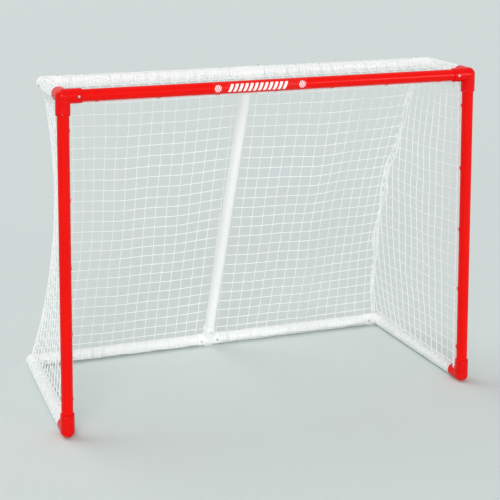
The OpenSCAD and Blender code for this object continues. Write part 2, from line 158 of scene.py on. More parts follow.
class Nodes:
    """A node tree and the one way that nodes are put into it."""

    def __init__(self, tree):
        self.tree = tree
        self.tree.nodes.clear()

    def add(self, kind, settings=None, values=None, out=0):
        """Makes a node: its settings first, then the values or links of its sockets."""
        node = self.tree.nodes.new(kind)
        for name, setting in (settings or {}).items():
            setattr(node, name, setting)
        for name, value in (values or {}).items():
            self.feed(self.pick(node.inputs, name), value)
        if not len(node.outputs):
            return node
        return Value(self, self.pick(node.outputs, out))

    def pick(self, sockets, name):
        if isinstance(name, int):
            return sockets[name]
        return next(s for s in sockets if s.name == name and s.enabled)

    def feed(self, socket, value):
        if isinstance(value, Value):
            self.tree.links.new(value.socket, socket)
        elif socket.type == "RGBA" and len(value) == 3:
            socket.default_value = (*value, 1.0)
        else:
            socket.default_value = value

    def math(self, operation, *values):
        return self.add("ShaderNodeMath", {"operation": operation}, dict(enumerate(values)))

    def other(self, value, name):
        """Another output of the node that a value comes from."""
        return Value(self, self.pick(value.socket.node.outputs, name))


class Shader(Nodes):
    """One material: patterns on Object coordinates, and a Principled surface."""

    def __init__(self, name):
        self.material = bpy.data.materials.new(name)
        self.material.use_nodes = True
        super().__init__(self.material.node_tree)
        self.place = self.add("ShaderNodeTexCoord", out="Object")

    def noise(self, scale, stretch=(1, 1, 1), detail=2.0, rough=0.5):
        place = self.add("ShaderNodeMapping", {}, {"Vector": self.place, "Scale": stretch})
        sizes = {"Vector": place, "Scale": scale, "Detail": detail, "Roughness": rough}
        return self.add("ShaderNodeTexNoise", {}, sizes)

    def spots(self, scale):
        return self.add("ShaderNodeTexVoronoi", {}, {"Vector": self.place, "Scale": scale})

    def step(self, value, low, high):
        """0 below low, 1 above high, smooth between."""
        ends = {"Value": value, "From Min": low, "From Max": high}
        return self.add("ShaderNodeMapRange", {"interpolation_type": "SMOOTHSTEP"}, ends)

    def blend(self, share, first, second):
        """The first colour where the share is 0, the second where it is 1."""
        return self.add("ShaderNodeMix", {"data_type": "RGBA"},
                        {"Factor": share, "A": first, "B": second}, out="Result")

    def bump(self, height, depth):
        """Relief of a pattern; depth is in metres."""
        return self.add("ShaderNodeBump", {}, {"Height": height, "Distance": depth})

    def surface(self, colour, roughness, normal, **fixed):
        """The Principled surface; in its fixed names an underscore stands for a space."""
        values = {"Base Color": colour, "Roughness": roughness, "Normal": normal}
        for name, value in fixed.items():
            values[name.replace("_", " ")] = value
        body = self.add("ShaderNodeBsdfPrincipled", {}, values)
        self.add("ShaderNodeOutputMaterial", {}, {"Surface": body})
        return self.material


# ---- Finishes ----

def stretch_along(axis, across):
    """Scale of a pattern that runs along one axis of the goal."""
    return tuple(1.0 if i == "xyz".index(axis) else across for i in range(3))


def worn(colour, grey, share):
    """The colour moved by a share towards a grey, as rubbed plastic shows it."""
    return tuple(c + (grey - c) * share for c in colour)


def extruded_tube(name, light, deep, axis, roughness, shine):
    """Drawn plastic tube: fine streaks along it, soft waves, a few rubbed marks."""
    s = Shader(name)
    streaks = s.noise(9.0, stretch_along(axis, across=34.0), detail=3.0)
    clouds = s.noise(3.2, detail=3.0)
    rub = s.noise(60.0, stretch_along(axis, across=5.0), detail=4.0, rough=0.7)
    grain = s.noise(260.0, detail=1.0)
    marks = s.step(rub, 0.66, 0.74) * s.step(clouds, 0.5, 0.62)
    tone = s.blend(s.step(streaks * 0.55 + clouds * 0.45, 0.34, 0.66), deep, light)
    colour = s.blend(marks * 0.55, tone, worn(light, grey=0.9, share=0.10))
    gloss = roughness + streaks * 0.10 + marks * 0.22
    height = streaks * 0.5 + grain * 0.18 + marks * 0.3
    return s.surface(colour, gloss, s.bump(height, depth=0.00022), Specular_IOR_Level=shine)


def moulded_fitting(name, light, deep, roughness, shine):
    """Injection-moulded plastic: fine grain, flow marks, rubbed patches."""
    s = Shader(name)
    grain = s.noise(900.0, detail=2.0)
    flow = s.noise(26.0, stretch=(1.0, 1.0, 1.6), detail=3.0)
    cells = s.spots(420.0)
    rub = s.step(s.noise(38.0, detail=5.0, rough=0.7), 0.63, 0.72)
    tone = s.blend(s.step(flow, 0.3, 0.7), deep, light)
    colour = s.blend(rub * 0.5, tone, worn(light, grey=0.85, share=0.12))
    gloss = roughness + grain * 0.08 + rub * 0.18
    height = grain * 0.45 + cells * 0.35 + flow * 0.6
    return s.surface(colour, gloss, s.bump(height, depth=0.00025), Specular_IOR_Level=shine)


def two_shot_clip(name, bar):
    """Moulded clip: its saddle has the red of the tube, its neck and ring are white nylon."""
    soft_edge = 0.0003
    s = Shader(name)
    parts = s.add("ShaderNodeSeparateXYZ", {}, {"Vector": s.place})
    forward = s.other(parts, "Y") - y_front
    height = s.other(parts, "Z")
    if bar:
        beside = height - z_top
    else:
        beside = abs(parts) - (foot_x + (height - z_base) * ((half_w - foot_x) / mouth_h))
    far = (forward * forward + beside * beside).math("SQRT")
    ring = s.step(far, saddle_r, saddle_r + soft_edge)
    grain = s.noise(900.0, detail=2.0)
    tone = s.noise(60.0, detail=3.0)
    red = s.blend(tone, DEEP_RED, RED)
    white = s.blend(tone, DEEP_NYLON, NYLON)
    return s.surface(s.blend(ring, red, white), 0.42 + grain * 0.1, s.bump(grain, depth=0.0001),
                     Specular_IOR_Level=0.25)


def twisted_fibre(name, light, deep, pitch, depth):
    """Twine or rope: plies that wind round it, with fibres, slight soiling and painted shade in
    the grooves between plies.
    """
    s = Shader(name)
    along = s.add("ShaderNodeAttribute", {"attribute_name": "along"}, out="Fac")
    ring = s.add("ShaderNodeAttribute", {"attribute_name": "round"}, out="Vector")
    parts = s.add("ShaderNodeSeparateXYZ", {}, {"Vector": ring})
    turn = along * (2 * math.pi / pitch)
    wind = turn.math("SINE") * parts + turn.math("COSINE") * s.other(parts, "Y")
    ply = wind * 0.5 + 0.5
    fibre = s.noise(2400.0, detail=2.0)
    soil = s.noise(7.0, detail=4.0)
    # darker along the grooves between the winding plies is painted shade; the fibre and soil noise
    # are the twine's own tone
    ply_shade_and_soil = s.step(ply * 0.6 + fibre * 0.25 + soil * 0.4, 0.35, 0.75)
    colour = s.blend(ply_shade_and_soil, deep, light)
    gloss = 0.62 + fibre * 0.2
    return s.surface(colour, gloss, s.bump(ply + fibre * 0.35, depth), Sheen_Weight=0.15)


def zinc_steel(name):
    """Zinc-plated screw: a fine grain and dull patches."""
    s = Shader(name)
    fine = s.noise(1500.0, detail=3.0)
    patch = s.noise(240.0, detail=3.0)
    colour = s.blend(s.step(patch, 0.35, 0.65), DULL_ZINC, ZINC)
    gloss = 0.24 + patch * 0.16 + fine * 0.08
    return s.surface(colour, gloss, s.bump(fine, depth=0.00012), Metallic=1.0)


def printed_film(name):
    """Red film with slanted white stripes between two round patches of finer stripes."""
    slant = 0.42
    soft_edge = 0.0006
    soft_phase = 0.06
    soft_end = 0.02
    first, pitch, count = -0.164, 0.0165, 12
    stripe_share = 0.60
    stripe_half_h = 0.0118
    patch_middles = (-0.201, 0.081)
    patch_r = 0.0112
    patch_pitch = 0.0056
    patch_share = 0.56

    s = Shader(name)
    x = s.add("ShaderNodeSeparateXYZ", {}, {"Vector": s.place})
    z = s.other(x, "Z") - z_top
    lean = x - z * slant

    def stripes(start, pitch, share):
        phase = ((lean - start) / pitch).math("FRACT")
        return s.step(phase, 0.0, soft_phase) * (1 - s.step(phase, share, share + soft_phase))

    along = (lean - first) / pitch
    inside = s.step(along, 0.0, soft_end) * (1 - s.step(along, count - soft_end, count))
    tall = 1 - s.step(abs(z), stripe_half_h, stripe_half_h + soft_edge)
    ink = stripes(first, pitch, stripe_share) * inside * tall
    for middle in patch_middles:
        dx = x - middle
        far = (dx * dx + z * z).math("SQRT")
        disc = 1 - s.step(far, patch_r, patch_r + soft_edge)
        ink = ink.math("MAXIMUM", disc * stripes(middle, patch_pitch, patch_share))
    grain = s.noise(1200.0, detail=2.0)
    wear = s.step(s.noise(150.0, stretch=(1.0, 2.0, 2.0), detail=4.0, rough=0.7), 0.60, 0.72)
    ink = ink * (1 - wear * 0.25)
    red = s.blend(s.noise(40.0), DEEP_FILM_RED, FILM_RED)
    colour = s.blend(ink, red, FILM_INK)
    gloss = 0.30 + ink * 0.14 + grain * 0.08
    normal = s.bump(ink + grain * 0.2, depth=0.00008)
    return s.surface(colour, gloss, normal, Specular_IOR_Level=0.2)


def studio_floor(name):
    """Seamless pale paper with a faint tooth."""
    s = Shader(name)
    tooth = s.noise(220.0, detail=3.0)
    drift = s.noise(0.6, detail=1.0)
    colour = s.blend(tooth * 0.5 + drift * 0.5, DEEP_PAPER, PAPER)
    return s.surface(colour, 0.86 + tooth * 0.1, s.bump(tooth, depth=0.0002))


finishes = {
    "red_post": extruded_tube("red_post_pvc", RED, DEEP_RED, "z", 0.20, 0.13),
    "red_bar": extruded_tube("red_bar_pvc", RED, DEEP_RED, "x", 0.20, 0.13),
    "red_fitting": moulded_fitting("red_fitting_plastic", FITTING_RED, DEEP_FITTING_RED,
                                   0.22, 0.15),
    "white_x": extruded_tube("white_bar_pvc", WHITE, GREY_WHITE, "x", 0.34, 0.4),
    "white_y": extruded_tube("white_rail_pvc", WHITE, GREY_WHITE, "y", 0.34, 0.4),
    "white_z": extruded_tube("white_brace_pvc", WHITE, GREY_WHITE, "z", 0.34, 0.4),
    "white_fitting": moulded_fitting("white_fitting_plastic", WHITE, GREY_WHITE, 0.38, 0.4),
    "post_clip": two_shot_clip("post_clip_plastic", bar=False),
    "bar_clip": two_shot_clip("bar_clip_plastic", bar=True),
    "twine": twisted_fibre("net_twine", TWINE, DEEP_TWINE, twine_pitch, depth=0.0003),
    "rope": twisted_fibre("border_rope", ROPE, DEEP_ROPE, rope_pitch, depth=0.0002),
    "screw": zinc_steel("screw_zinc"),
    "film": printed_film("crossbar_film"),
}

node_finish = {
    "left_post": "red_post", "right_post": "red_post", "crossbar": "red_bar",
    "top_left_corner": "red_fitting", "top_right_corner": "red_fitting",
    "bottom_left_elbow": "red_fitting", "bottom_right_elbow": "red_fitting",
    "left_side_rail": "white_y", "right_side_rail": "white_y",
    "back_left_elbow": "white_fitting", "back_right_elbow": "white_fitting",
    "back_rail_left": "white_x", "back_rail_right": "white_x",
    "base_tee": "white_fitting", "centre_brace": "white_z", "shelf_tee": "white_fitting",
    "shelf_bar_left": "white_x", "shelf_bar_right": "white_x",
    "shelf_left_elbow": "white_fitting", "shelf_right_elbow": "white_fitting",
    "left_shelf_tube": "white_y", "right_shelf_tube": "white_y",
    "left_post_clips": "post_clip", "right_post_clips": "post_clip",
    "crossbar_clips": "bar_clip",
    "frame_screws": "screw", "base_screws": "screw", "shelf_screws": "screw",
    "crossbar_label": "film",
}
for node_name, finish_name in node_finish.items():
    node_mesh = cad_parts[node_name].data
    node_mesh.materials.clear()
    node_mesh.materials.append(finishes[finish_name])


# ---- Surfaces that the netting follows; s is a share of the goal's height ----

def post_x(s):
    return foot_x + (half_w - foot_x) * s


def fold_x(s):
    return rear_x + (half_w - rear_x) * s - net_bow * 4 * s * (1 - s)


def plane_y(s):
    return y_back + (y_shelf - y_back) * s


def height_z(s):
    return z_base + mouth_h * s


def unevenness(a, b, seed):
    """Smooth waves over two coordinates, the same on each run, between about -1 and 1."""
    calm = 2.6
    dice = np.random.default_rng(seed)
    total = 0.0
    for size in (3.0, 6.0, 11.0, 19.0):
        turn = dice.uniform(0, 2 * math.pi)
        phase = dice.uniform(0, 2 * math.pi)
        total = total + np.sin(size * (a * math.cos(turn) + b * math.sin(turn)) + phase) / calm
    return total


def looseness(share, s):
    """0 at the edges of a panel and 1 in its middle; steep near its low and high edges."""
    return np.sin(math.pi * share) * np.sin(math.pi * np.clip(s, 0, 1)) ** 0.6


def back_point(w, s):
    """Point of the back net at cloth width w and height share s."""
    pull = (half_w - fold_x(s)) / half_w
    x = w * (1 - pull * (w / half_w) ** 2)
    brace_x = base_tee_x + (shelf_tee_x - base_tee_x) * s
    reach = np.where(x > brace_x, fold_x(s) - brace_x, fold_x(s) + brace_x)
    slack = looseness(np.clip(np.abs(x - brace_x) / reach, 0, 1), s)
    sag = back_sag * slack + back_wave * slack * unevenness(w, s, seed=5)
    drop = net_drop * slack * (1 + 0.8 * unevenness(w * 1.3, s * 1.4, seed=7))
    drift = net_drift * slack * unevenness(w * 1.5, s * 1.2, seed=9)
    y = plane_y(s) + back_gap - sag * math.cos(back_lean)
    z = height_z(s) - sag * math.sin(back_lean) - drop
    return np.stack([x + drift, y, z], axis=-1)


def side_share(y, s):
    """0 on the front edge of the side net, 1 on its rear edge."""
    return (y - net_front_y) / (plane_y(s) + net_rear_gap - net_front_y)


def side_point(side, y, s):
    """Point of a side net at depth y and height share s."""
    share = side_share(y, s)
    x = (1 - share) * (post_x(s) - cord_in) + share * fold_x(s)
    slack = looseness(np.clip(share, 0, 1), s)
    bow = side_wave * slack * unevenness(y * 1.4, s * 1.5, seed=21 + side)
    drop = net_drop * slack * (1 + 0.7 * unevenness(y * 2, s * 2, seed=31 + side))
    drift = net_drift * slack * unevenness(y * 1.5, s * 2.0, seed=41 + side)
    return np.stack([side * (x + bow), y + drift, height_z(s) - drop], axis=-1)


def top_point(w, y):
    """Point of the top net; it sags a little between the crossbar and the shelf bar."""
    share = (y - net_front_y) / (y_shelf - net_off - net_front_y)
    low = z_top - cord_drop
    slack = np.sin(math.pi * np.clip(share, 0, 1)) * (1 - (w / half_w) ** 4)
    sag = slack * (top_sag + top_wave * unevenness(w, y * 3, seed=51))
    return np.stack([w, y, low + (z_top - low) * share - sag], axis=-1)


# ---- Runs of twine and rope ----

class Wires:
    """Runs of twine, each a line of points, gathered in one wire mesh."""

    def __init__(self):
        self.points = []
        self.edges = []
        self.knots = []
        self.loops = []
        self.widths = []
        self.facings = []

    def run(self, points, knots=(), width=1.0, facing=(0.0, 1.0, 0.0), rope_way=None):
        """Adds a run; with a rope_way it starts in a loop round a rope of that direction."""
        first = len(self.points)
        count = len(points)
        self.points.extend(np.asarray(points, float).tolist())
        self.edges.extend((first + i, first + i + 1) for i in range(count - 1))
        knots = set(knots)
        self.knots.extend(1.0 if i in knots else 0.0 for i in range(count))
        self.widths.extend([width] * count)
        self.loops.extend([1.0 if rope_way else 0.0] + [0.0] * (count - 1))
        self.facings.extend([rope_way or facing] + [facing] * (count - 1))

    def object(self, name):
        mesh = bpy.data.meshes.new(name)
        mesh.from_pydata(self.points, self.edges, [])
        for label, values in (("knot", self.knots), ("loop", self.loops), ("radius", self.widths)):
            layer = mesh.attributes.new(label, "FLOAT", "POINT")
            layer.data.foreach_set("value", values)
        layer = mesh.attributes.new("facing", "FLOAT_VECTOR", "POINT")
        layer.data.foreach_set("vector", np.asarray(self.facings, float).ravel())
        return new_object(name, mesh)


def new_object(name, mesh):
    piece = bpy.data.objects.new(name, mesh)
    bpy.context.scene.collection.objects.link(piece)
    return piece


def tree_with_inputs(name, inputs):
    """A geometry tree with named inputs and one geometry output."""
    tree = bpy.data.node_groups.new(name, "GeometryNodeTree")
    tree.interface.new_socket("Geometry", in_out="INPUT", socket_type="NodeSocketGeometry")
    for label, kind in inputs.items():
        tree.interface.new_socket(label, in_out="INPUT", socket_type="NodeSocket" + kind)
    tree.interface.new_socket("Geometry", in_out="OUTPUT", socket_type="NodeSocketGeometry")
    nodes = Nodes(tree)
    entry = nodes.add("NodeGroupInput")
    given = {label: nodes.other(entry, label) for label in ("Geometry", *inputs)}
    return nodes, given


def named(nodes, label, kind="FLOAT"):
    """Reads a value from the points of a geometry."""
    return nodes.add("GeometryNodeInputNamedAttribute", {"data_type": kind},
                     {"Name": label}, out="Attribute")


def keep(nodes, geometry, label, value, kind="FLOAT"):
    """Stores a value on the points of a geometry."""
    return nodes.add("GeometryNodeStoreNamedAttribute", {"data_type": kind, "domain": "POINT"},
                     {"Geometry": geometry, "Name": label, "Value": value})


def circle_curve(nodes, resolution, radius=1.0):
    return nodes.add("GeometryNodeCurvePrimitiveCircle", {},
                     {"Resolution": resolution, "Radius": radius}, out="Curve")


def unit_ball(nodes, subdivisions):
    return nodes.add("GeometryNodeMeshIcoSphere", {},
                     {"Radius": 1.0, "Subdivisions": subdivisions}, out="Mesh")


def vector(nodes, x, y, z):
    return nodes.add("ShaderNodeCombineXYZ", {}, {"X": x, "Y": y, "Z": z})


def on_points(nodes, points, chosen, shape, size, turn):
    """Puts a copy of a shape on each point whose value of that name is 1."""
    return nodes.add("GeometryNodeInstanceOnPoints", {}, {
        "Points": points, "Selection": named(nodes, chosen), "Instance": shape,
        "Rotation": turn, "Scale": size})


def swept(nodes, curve, profile):
    """Sweeps a profile along a curve, at the curve's own thickness."""
    thickness = nodes.add("GeometryNodeInputRadius")
    return nodes.add("GeometryNodeCurveToMesh", {}, {
        "Curve": curve, "Profile Curve": profile, "Scale": thickness, "Fill Caps": True})


def finish_tree(nodes, parts, material):
    """Joins the parts of a tree into real geometry with smooth faces and a material."""
    joined = nodes.add("GeometryNodeJoinGeometry")
    for part in parts:
        nodes.tree.links.new(part.socket, joined.socket.node.inputs[0])
    real = nodes.add("GeometryNodeRealizeInstances", {}, {"Geometry": joined})
    smooth = nodes.add("GeometryNodeSetShadeSmooth", {}, {"Geometry": real})
    done = nodes.add("GeometryNodeSetMaterial", {}, {"Geometry": smooth, "Material": material})
    nodes.add("NodeGroupOutput", {}, {"Geometry": done})
    return nodes.tree


def twine_tree():
    """Runs of twine with a knot at each crossing and a loop where it holds the border rope."""
    smallest, largest = 0.85, 1.15
    hoop_wire = 0.36
    nodes, given = tree_with_inputs("net_twine_tree", {
        "Twine Radius": "Float", "Knot Radius": "Float", "Loop Radius": "Float",
        "Seed": "Int", "Material": "Material"})
    curve = nodes.add("GeometryNodeMeshToCurve", {}, {"Mesh": given["Geometry"]})
    length = nodes.add("GeometryNodeSplineParameter", out="Length")
    curve = keep(nodes, curve, "along", length)
    place = nodes.add("GeometryNodeInputPosition")
    circle = keep(nodes, circle_curve(nodes, 6), "round", place, "FLOAT_VECTOR")
    wide = given["Twine Radius"]
    circle = nodes.add("GeometryNodeTransform", {},
                       {"Geometry": circle, "Scale": vector(nodes, wide, wide, wide)})
    strands = swept(nodes, curve, circle)

    facing = named(nodes, "facing", "FLOAT_VECTOR")
    turn = nodes.add("FunctionNodeAlignRotationToVector", {"axis": "Z"}, {"Vector": facing})
    spread = nodes.add("FunctionNodeRandomValue", {"data_type": "FLOAT"},
                       {"Min": smallest, "Max": largest, "Seed": given["Seed"]}, out="Value")
    wide = spread * given["Knot Radius"]
    size = vector(nodes, wide * 1.15, wide, wide * 0.8)
    knots = on_points(nodes, given["Geometry"], "knot", unit_ball(nodes, 1), size, turn)

    hoop = nodes.add("GeometryNodeCurveToMesh", {}, {
        "Curve": circle_curve(nodes, 10), "Profile Curve": circle_curve(nodes, 5, hoop_wire)})
    wide = given["Loop Radius"]
    size = vector(nodes, wide, wide, wide)
    loops = on_points(nodes, given["Geometry"], "loop", hoop, size, turn)
    return finish_tree(nodes, [strands, knots, loops], given["Material"])


def rope_tree():
    """A laid rope: a profile with one lobe for each ply, turned along its run."""
    lobe_share = 0.13
    nodes, given = tree_with_inputs("border_rope_tree", {
        "Rope Radius": "Float", "Pitch": "Float", "Plies": "Float", "Step": "Float",
        "Knot Radius": "Float", "Material": "Material"})
    curve = nodes.add("GeometryNodeMeshToCurve", {}, {"Mesh": given["Geometry"]})
    curve = nodes.add("GeometryNodeResampleCurve", {"mode": "LENGTH"},
                      {"Curve": curve, "Length": given["Step"]})
    length = nodes.add("GeometryNodeSplineParameter", out="Length")
    curve = keep(nodes, curve, "along", length)
    curve = nodes.add("GeometryNodeSetCurveTilt", {},
                      {"Curve": curve, "Tilt": length * (2 * math.pi) / given["Pitch"]})
    place = nodes.add("GeometryNodeInputPosition")
    circle = keep(nodes, circle_curve(nodes, 18), "round", place, "FLOAT_VECTOR")
    x = nodes.add("ShaderNodeSeparateXYZ", {}, {"Vector": place})
    y = nodes.other(x, "Y")
    angle = nodes.math("ARCTAN2", y, x)
    lobe = (angle * given["Plies"]).math("COSINE") * lobe_share + (1 - lobe_share)
    swell = vector(nodes, x * lobe * given["Rope Radius"], y * lobe * given["Rope Radius"], 0.0)
    circle = nodes.add("GeometryNodeSetPosition", {}, {"Geometry": circle, "Position": swell})
    rope = swept(nodes, curve, circle)
    wide = given["Knot Radius"]
    size = vector(nodes, wide, wide, wide * 0.85)
    upright = (0.0, 0.0, 0.0)
    knots = on_points(nodes, given["Geometry"], "knot", unit_ball(nodes, 3), size, upright)
    return finish_tree(nodes, [rope, knots], given["Material"])


def grow(source, tree, inputs, slot, *cad_nodes):
    """Runs a geometry tree on an object and keeps the result as one plain mesh."""
    modifier = source.modifiers.new("grow", "NODES")
    modifier.node_group = tree
    for item in tree.interface.items_tree:
        if item.in_out == "INPUT" and item.name in inputs:
            modifier[item.identifier] = inputs[item.name]
    graph = bpy.context.evaluated_depsgraph_get()
    mesh = bpy.data.meshes.new_from_object(source.evaluated_get(graph))
    source.modifiers.clear()
    wire = source.data
    source.data = mesh
    bpy.data.meshes.remove(wire)
    mesh.name = source.name
    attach(source, "root")
    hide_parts(*cad_nodes)


# ---- Net panels ----

def end_on_sleeve(point, axis_point, radius=sleeve_high_r):
    """Where a strand reaches the sleeve round a tube."""
    way = np.asarray(point) - axis_point
    return axis_point + way * (radius / np.linalg.norm(way))


rail_front = np.array([foot_x, y_front, z_base])
rail_rear = np.array([rear_x, y_back, z_base])


def rail_axis(side, y):
    """Point of a side rail's axis at depth y."""
    share = (y - y_front) / (y_back - y_front)
    point = rail_front + (rail_rear - rail_front) * share
    return point * (side, 1, 1)


def back_net():
    """Rows with knots, and columns; two points to each mesh."""
    wires = Wires()
    outward = (0.0, math.cos(back_lean), math.sin(back_lean))
    across = np.linspace(-half_w, half_w, 2 * net_columns + 1)
    shares = np.linspace(0.0, 1.0, 2 * back_rows + 1)
    for row in range(back_rows + 1):
        s = np.full_like(across, row / back_rows)
        wires.run(back_point(across, s), range(0, len(across), 2), facing=outward)
    for column in range(net_columns + 1):
        w = np.full_like(shares, -half_w + column * mesh_w)
        wires.run(back_point(w, shares), facing=outward)
    return wires


def side_net(side):
    """Rows from the border rope to the rear fold, and columns up from the side rail."""
    wires = Wires()
    outward = (float(side), 0.0, 0.0)
    rope_way = (side * (half_w - foot_x) / mouth_h, 0.0, 1.0)
    half_mesh = mesh_w / 2
    last_gap = 0.006
    for row in range(1, back_rows):
        s = row / back_rows
        rear_y = plane_y(s) + back_gap
        count = int((rear_y - last_gap - net_front_y) / half_mesh)
        ys = np.array([net_front_y + i * half_mesh for i in range(count + 1)] + [rear_y])
        points = side_point(side, ys, np.full_like(ys, s))
        points[-1] = (side * fold_x(s), rear_y, height_z(s))
        cord = np.array([side * (post_x(s) - cord_in), y_front + cord_back, height_z(s)])
        points = np.vstack([cord, points])
        wires.run(points, range(1, count + 2, 2), facing=outward, rope_way=rope_way)
    low = net_off / mouth_h
    high = 1 - low
    shortest = 3 / back_rows
    column = 0
    while True:
        y = net_front_y + column * mesh_w
        end = (y_back + net_rear_gap - y) / (y_back - y_shelf)
        if end < shortest:
            break
        top = min(end, high)
        steps = max(4, int(round((top - low) * back_rows * 2)))
        s = np.linspace(low, top, steps + 1)
        points = side_point(side, np.full_like(s, y), s)
        near_post = y - y_front < corner_reach
        near_rear = y_back - y < corner_reach
        radius = fitting_end_r if near_post or near_rear else sleeve_high_r
        points = [end_on_sleeve(points[0], rail_axis(side, y), radius), *points]
        if top == high and y < y_shelf:
            near_elbow = y_shelf - y < corner_reach
            radius = fitting_end_r if near_post or near_elbow else sleeve_high_r
            axis_point = np.array([side * half_w, y, z_top])
            points.append(end_on_sleeve(points[-1], axis_point, radius))
        wires.run(points, facing=outward)
        column += 1
    return wires


def fold_lacing(wires, side):
    """Edge twine down the rear fold, and two gathered bundles that wander and cross over it."""
    low, high = 0.012, 0.992
    steps, lacing_steps = 240, 420
    swings = 2.7
    bundle_reach, reach_wave = 0.017, 0.007
    strand_gap, stray_size, lift_size = 0.0022, 0.0016, 0.0011
    edge_in, shake_size = 0.001, 0.0015
    lacing_pitch, lacing_in, lacing_r, lacing_rise = 0.042, 0.004, 0.006, 0.003
    inward = np.array([-side, 0.0, 0.0])
    forward = np.array([side * 0.1, -0.995, 0.0])

    s = np.linspace(low, high, steps)
    fold = np.stack([side * fold_x(s), plane_y(s) + back_gap - edge_in, height_z(s)], axis=-1)
    shake = np.stack([unevenness(s * 3, 0, seed=61), unevenness(s * 3, 0, seed=62), 0 * s],
                     axis=-1)
    wires.run(fold + shake * shake_size, width=1.3)
    fade = np.sin(math.pi * s) ** 0.3
    for bundle in (0, 1):
        swing = np.sin(2 * math.pi * swings * s + math.pi * bundle
                       + 1.3 * unevenness(s * 1.4, 0, seed=63 + bundle))
        reach = bundle_reach + reach_wave * unevenness(s * 1.7, 0, seed=65 + bundle)
        for strand in range(3):
            stray = unevenness(s * 4, 0, seed=67 + 3 * bundle + strand)
            along = (swing * reach + strand_gap * (strand - 1) + stray_size * stray) * fade
            back = np.maximum(along, 0)[:, None] * inward
            flank = np.maximum(-along, 0)[:, None] * forward
            lift = (lift_size * (strand - 1) * np.cos(9 * s))[:, None] * (forward - inward)
            knots = range(4 + 5 * strand, steps - 4, 13)
            wires.run(fold + back + flank + lift, knots, width=1.55)

    s = np.linspace(low, high, lacing_steps)
    turn = 2 * math.pi * s * slope_len / lacing_pitch
    base = np.stack([side * fold_x(s), plane_y(s) + back_gap, height_z(s)], axis=-1)
    ring = np.stack([-side * (lacing_in + lacing_r * np.cos(turn)),
                     -lacing_in + lacing_r * np.sin(turn),
                     lacing_rise * np.cos(turn)], axis=-1)
    wires.run(base + ring)


def top_net():
    """Columns from the border rope to the shelf bar, and rows between the shelf tubes."""
    wires = Wires()
    up = (0.0, 0.0, 1.0)
    rear = y_shelf - net_off
    reach = half_w - net_off
    edge_gap = 0.004
    column_points = 14
    ys = np.linspace(net_front_y, rear, column_points)
    for column in range(net_columns + 1):
        w = -half_w + column * mesh_w
        if abs(w) > reach:
            continue
        points = top_point(np.full_like(ys, w), ys)
        cord = [w, y_front + cord_back, z_top - cord_drop]
        near_fitting = half_w - abs(w) < corner_reach or abs(w - shelf_tee_x) < tee_reach
        radius = fitting_end_r if near_fitting else sleeve_high_r
        bar = end_on_sleeve(points[-1], np.array([w, y_shelf, z_top]), radius)
        wires.run([cord, *points, bar], facing=up, rope_way=(1.0, 0.0, 0.0))
    across = [-half_w + i * mesh_w / 2 for i in range(2 * net_columns + 1)]
    across = [-reach] + [w for w in across if abs(w) < reach - edge_gap] + [reach]
    across = np.array(across)
    meshes = (across + half_w) / mesh_w
    columns = [i for i, mesh in enumerate(meshes) if abs(mesh - round(mesh)) < 0.01]
    for row in range(1, top_rows + 1):
        y = net_front_y + row * mesh_w
        points = top_point(across, np.full_like(across, y))
        left = end_on_sleeve(points[0], np.array([-half_w, y, z_top]))
        right = end_on_sleeve(points[-1], np.array([half_w, y, z_top]))
        wires.run([left, *points, right], [i + 1 for i in columns], facing=up)
    return wires


# ---- Netting wrapped round the white tubes ----

def sleeve(wires, start, finish, marks, first_way, seed):
    """Rings, lengthwise strands and a lacing round a tube between two sockets.

    marks are the distances from start at which a strand of a panel goes round the tube.
    Angles round the tube are counted from first_way.
    """
    ring_steps, ring_lean, ring_climb = 16, 0.004, 0.003
    strands, strand_step, strand_margin = 6, 0.012, 0.0008
    lacing_pitch, lacing_steps, lacing_low, lacing_wave = 0.0127, 12, 0.0006, 0.0016
    margin = 0.001
    start = np.asarray(start, float)
    finish = np.asarray(finish, float)
    length = np.linalg.norm(finish - start)
    along = (finish - start) / length
    first = np.asarray(first_way, float)
    first = first - along * first.dot(along)
    first /= np.linalg.norm(first)
    second = np.cross(along, first)
    dice = np.random.default_rng(seed)

    def at(distance, angle, radius):
        angle = np.asarray(angle)[..., None]
        distance = np.asarray(distance)[..., None]
        return start + along * distance + radius * (first * np.cos(angle) + second * np.sin(angle))

    turn = np.linspace(0, 1, ring_steps + 1)
    for mark in marks:
        lean = dice.uniform(-ring_lean, ring_lean)
        distance = mark + lean * np.sin(math.pi * turn) + ring_climb * turn
        distance = np.clip(distance, margin, length - margin)
        angle = turn * 2 * math.pi * dice.uniform(1.0, 1.08)
        wires.run(at(distance, angle, sleeve_high_r), (0, ring_steps // 2, ring_steps),
                  facing=tuple(along))
    count = max(6, int(length / strand_step))
    distance = np.linspace(strand_margin, length - strand_margin, count)
    for strand in range(strands):
        base = 2 * math.pi * (strand + dice.uniform(0.0, 0.5)) / strands
        slow = 0.16 * np.sin(distance * 40 + dice.uniform(0, 6))
        quick = 0.1 * np.sin(distance * 95 + dice.uniform(0, 6))
        wires.run(at(distance, base + slow + quick, sleeve_low_r))
    turns = length / lacing_pitch
    share = np.linspace(0, 1, int(turns * lacing_steps))
    distance = margin + (length - 2 * margin) * share
    distance = distance + lacing_wave * np.sin(share * turns * 2.1)
    distance = np.clip(distance, margin, length - margin)
    angle = 2 * math.pi * turns * share
    wires.run(at(distance, angle, sleeve_high_r - lacing_low), width=0.85)


def tube_between(first, first_reach, last, last_reach):
    """Ends of the bare stretch between two sockets."""
    first = np.asarray(first, float)
    last = np.asarray(last, float)
    along = (last - first) / np.linalg.norm(last - first)
    return first + along * (first_reach + hem_gap), last - along * (last_reach + hem_gap)


def marks_along(start, finish, axis, origin):
    """Distances from start at which the panel's strands cross the tube."""
    end_gap = 0.004
    most = 60
    length = np.linalg.norm(finish - start)
    slope = (finish[axis] - start[axis]) / length
    marks = []
    for i in range(-most, most + 1):
        distance = (origin + i * mesh_w - start[axis]) / slope
        if end_gap < distance < length - end_gap:
            marks.append(distance)
    return sorted(marks)


